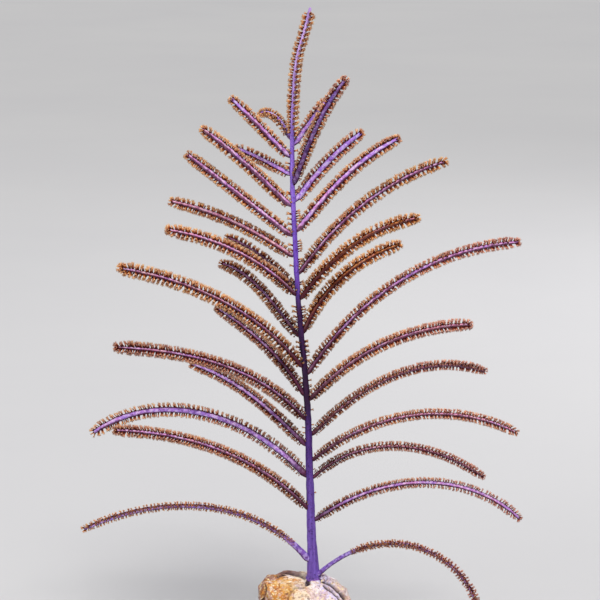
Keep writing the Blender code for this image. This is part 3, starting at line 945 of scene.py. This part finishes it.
# %% Round a finer copy of the rock
clear_selection()
rock = bpy.data.objects.new("rock_crust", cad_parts["rock"].data.copy())
bpy.context.collection.objects.link(rock)
rock.select_set(True)
bpy.context.view_layer.objects.active = rock
bpy.ops.object.mode_set(mode="EDIT")
bpy.ops.mesh.select_all(action="SELECT")
bpy.ops.mesh.remove_doubles(threshold=0.000001)
bpy.ops.mesh.subdivide(number_cuts=4)
pick_faces(rock, lambda middle, normal: middle.z > 14 * MM)
bpy.ops.mesh.subdivide(number_cuts=1)
bpy.ops.object.mode_set(mode="OBJECT")
flat = points_of(rock.data)[:, 2] < 0.02 * MM
rounded = rock.modifiers.new("rounding", "SMOOTH")
rounded.factor, rounded.iterations = 0.5, 5
bpy.ops.object.modifier_apply(modifier="rounding")
print("rock faces:", len(rock.data.polygons))

# %% Lines and places on the rock
# The front is seen from a little above
TILT = math.radians(12)
# Lines seen from the front (mm), with their width, depth and how dark their painted shade is
LINES_MM = [
    ([(5.6, 23.2), (8.9, 22.1), (11.8, 19.8), (13.8, 17.1)], 0.4, 0.8, 1.0),
    ([(6.6, 21.8), (9.8, 19.8), (11.8, 17.4), (12.6, 15.0)], 0.32, 0.6, 1.0),
    ([(-13.2, 21.8), (-13.6, 19.0), (-13.7, 15.5)], 0.45, 1.5, 1.0),
    ([(-9.0, 24.2), (-5.1, 25.0), (-1.2, 24.3), (0.4, 23.5)], 0.35, 0.8, 1.0),
    ([(0.4, 21.9), (-3.0, 21.7), (-4.6, 20.1), (-5.4, 17.8)], 0.4, 0.35, 0.5),
]
# The hole: its place, its half width and height, and its depth (mm)
HOLE_MM = (1.2, 22.75)
HOLE_SIZE_MM = (0.75, 0.5)
HOLE_DEPTH_MM = 1.8
# Where points are pushed: place (X, Z), reach, and how far up and to the right (mm)
PUSHES_MM = [(-12.0, 22.2, 3.2, 1.3, -0.5)]
# Soft ledges low on the rock: height, width and depth (mm)
LEDGES_MM = [(12.2, 1.0, 0.9), (7.8, 0.9, 1.0)]


def distance_to_line(spots, line):
    """Distance of many flat points to a line through a few places."""
    best = np.full(len(spots), np.inf)
    for start, end in zip(np.array(line[:-1]), np.array(line[1:])):
        reach = end - start
        share = np.clip(((spots - start) @ reach) / (reach @ reach), 0, 1)
        best = np.minimum(best, np.linalg.norm(spots - start - share[:, None] * reach, axis=1))
    return best


print("lines:", len(LINES_MM), "ledges:", len(LEDGES_MM))

# %% Weather the rock
places = points_of(rock.data)
for x, z, reach, up, right in PUSHES_MM:
    near = ease(1 - np.hypot(places[:, 0] / MM - x, places[:, 2] / MM - z) / reach)
    places[:, 2] += up * MM * near
    places[:, 0] += right * MM * near
# The flake on the left stands upright, round a little towards the front and the back
x, y, z = (places / MM).T
upright = ease((-12.6 - x) / 0.8) * ease((z - 11) / 3) * ease((21.9 - z) / 1.4)
places[:, 0] += upright * (-15.4 * np.sqrt(np.clip(1 - (y / 15) ** 2, 0, 1)) - x) * MM
move_points(rock.data, places)
normals = np.array([point.normal[:] for point in rock.data.vertices])
up_in_view = places[:, 2] * math.cos(TILT) + places[:, 1] * math.sin(TILT)
seen = np.column_stack((places[:, 0], up_in_view)) / MM
faces_front = ease((0.35 - normals[:, 1]) / 0.5)
depth = np.zeros(len(places))
# How dark each point is painted, as painted shade in grooves, pits and the hole
painted_groove_shade = np.zeros(len(places))
for n, place in enumerate(places / MM):
    spot = Vector(place)
    depth[n] = 0.45 + 0.45 * noise.noise(spot / 4.5) + 0.3 * abs(noise.noise(spot / 1.7))
    depth[n] += 0.28 * abs(noise.noise(spot / 0.8))
    pit = float(ease(1 - noise.voronoi(spot / 2.4)[0][0] / 0.25))
    depth[n] += 0.45 * pit
    painted_groove_shade[n] = 0.7 * pit
    for level, width, cut in LEDGES_MM:
        off = (place[2] - level - 3 * noise.noise(Vector((place[0], place[1], 0)) / 9)) / width
        depth[n] += cut * math.exp(-off * off)
for line, width, cut, dark in LINES_MM:
    near = np.exp(-(distance_to_line(seen, line) / width) ** 2) * faces_front
    depth += cut * near
    painted_groove_shade = np.maximum(painted_groove_shade, dark * near)
hole = np.exp(-(((seen - HOLE_MM) / HOLE_SIZE_MM) ** 2).sum(axis=1) ** 1.5) * faces_front
depth += HOLE_DEPTH_MM * hole
painted_groove_shade = np.clip(np.maximum(painted_groove_shade, 3.0 * hole), 0, 1)
# Nothing sinks right round the stem's foot
foot = stem_centre(STEM_FOOT_MM * MM)
from_foot = np.hypot(places[:, 0] - foot.x, places[:, 1] - foot.y) / MM
near_foot = (from_foot < 5) & (places[:, 2] > 20 * MM)
depth[near_foot] *= ease((from_foot[near_foot] - 1.8) / 1.8)
places -= normals * (depth * MM)[:, None]
places[flat, 2] = 0.0
places[:, 2] = np.clip(places[:, 2], 0.0, None)
move_points(rock.data, places)
paint(rock.data, "painted_groove_shade", painted_groove_shade)
# The lip is what shows above the groove behind the stem, left of it
behind = ease((seen[:, 1] - 24.3) / 0.6) * ease((-0.5 - seen[:, 0]) / 1.0)
paint(rock.data, "lip", 0.75 * behind)
rock.data.materials.clear()
rock.data.materials.append(rock_finish)
rock.data.shade_smooth()
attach(rock, "root")
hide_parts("rock")
print("deepest groove:", round(float(depth.max()), 1), "mm")

# %% [markdown]
# ## Floor, light and camera
# A pale floor and broad lights show the coral plainly. The light from above is the strongest, so
# that the upper side of every branch is bright and the underside falls away.

# %% Floor
FLOOR_WIDTH = 12

clear_selection()
bpy.ops.mesh.primitive_plane_add(size=FLOOR_WIDTH, location=(0, 0, 0))
floor = bpy.context.object
floor.name = "floor"
floor_finish, tree, shader, spot = new_finish("pale_floor")
cloud = patches(tree, spot, 3.0, 0.2, 0.8)
tree.links.new(mix(tree, cloud, (0.57, 0.57, 0.58), (0.61, 0.61, 0.61)),
               shader.inputs["Base Color"])
shader.inputs["Roughness"].default_value = 0.9
floor.data.materials.append(floor_finish)
print("floor:", FLOOR_WIDTH, "m wide")

# %% Lights
scene = bpy.context.scene
sky = bpy.data.worlds.new("studio")
scene.world = sky
sky.use_nodes = True
sky.node_tree.nodes["Background"].inputs["Color"].default_value = (0.92, 0.94, 1.0, 1.0)
sky.node_tree.nodes["Background"].inputs["Strength"].default_value = 0.25
scene.view_settings.view_transform = "Standard"

# What lights and camera look at: the middle of the view, half up the coral
AIM = Vector((-0.0013, 0.0, 0.1173))


def add_light(name, kind, place, power, colour, spread):
    """A light that looks at the coral: a sun with its angle, or a disk with its size."""
    lamp = bpy.data.lights.new(name, kind)
    lamp.energy, lamp.color = power, colour
    if kind == "SUN":
        lamp.angle = spread
    else:
        lamp.shape, lamp.size = "DISK", spread
    thing = bpy.data.objects.new(name, lamp)
    thing.location = place
    thing.rotation_euler = (AIM - Vector(place)).to_track_quat("-Z", "Y").to_euler()
    scene.collection.objects.link(thing)


add_light("light_above", "SUN", (0.25, -0.65, 1.3), 2.6, (1.0, 0.98, 0.96), math.radians(25))
add_light("light_left", "AREA", (-0.7, -0.6, 0.4), 3.0, (0.97, 0.97, 1.0), 0.6)
add_light("light_behind", "AREA", (0.5, 0.6, 0.6), 2.5, (0.97, 0.96, 1.0), 0.5)
print("lights:", len(bpy.data.lights))

# %% Camera
CAMERA_AWAY = 0.70

eye = bpy.data.cameras.new("camera")
eye.lens, eye.sensor_width = 131.25, 36.0
eye.clip_start, eye.clip_end = 0.01, 50.0
camera = bpy.data.objects.new("camera", eye)
camera.location = AIM - CAMERA_AWAY * Vector((0, math.cos(TILT), -math.sin(TILT)))
camera.rotation_euler = (math.pi / 2 - TILT, 0, 0)
scene.collection.objects.link(camera)
scene.camera = camera
print("camera:", CAMERA_AWAY, "m away")
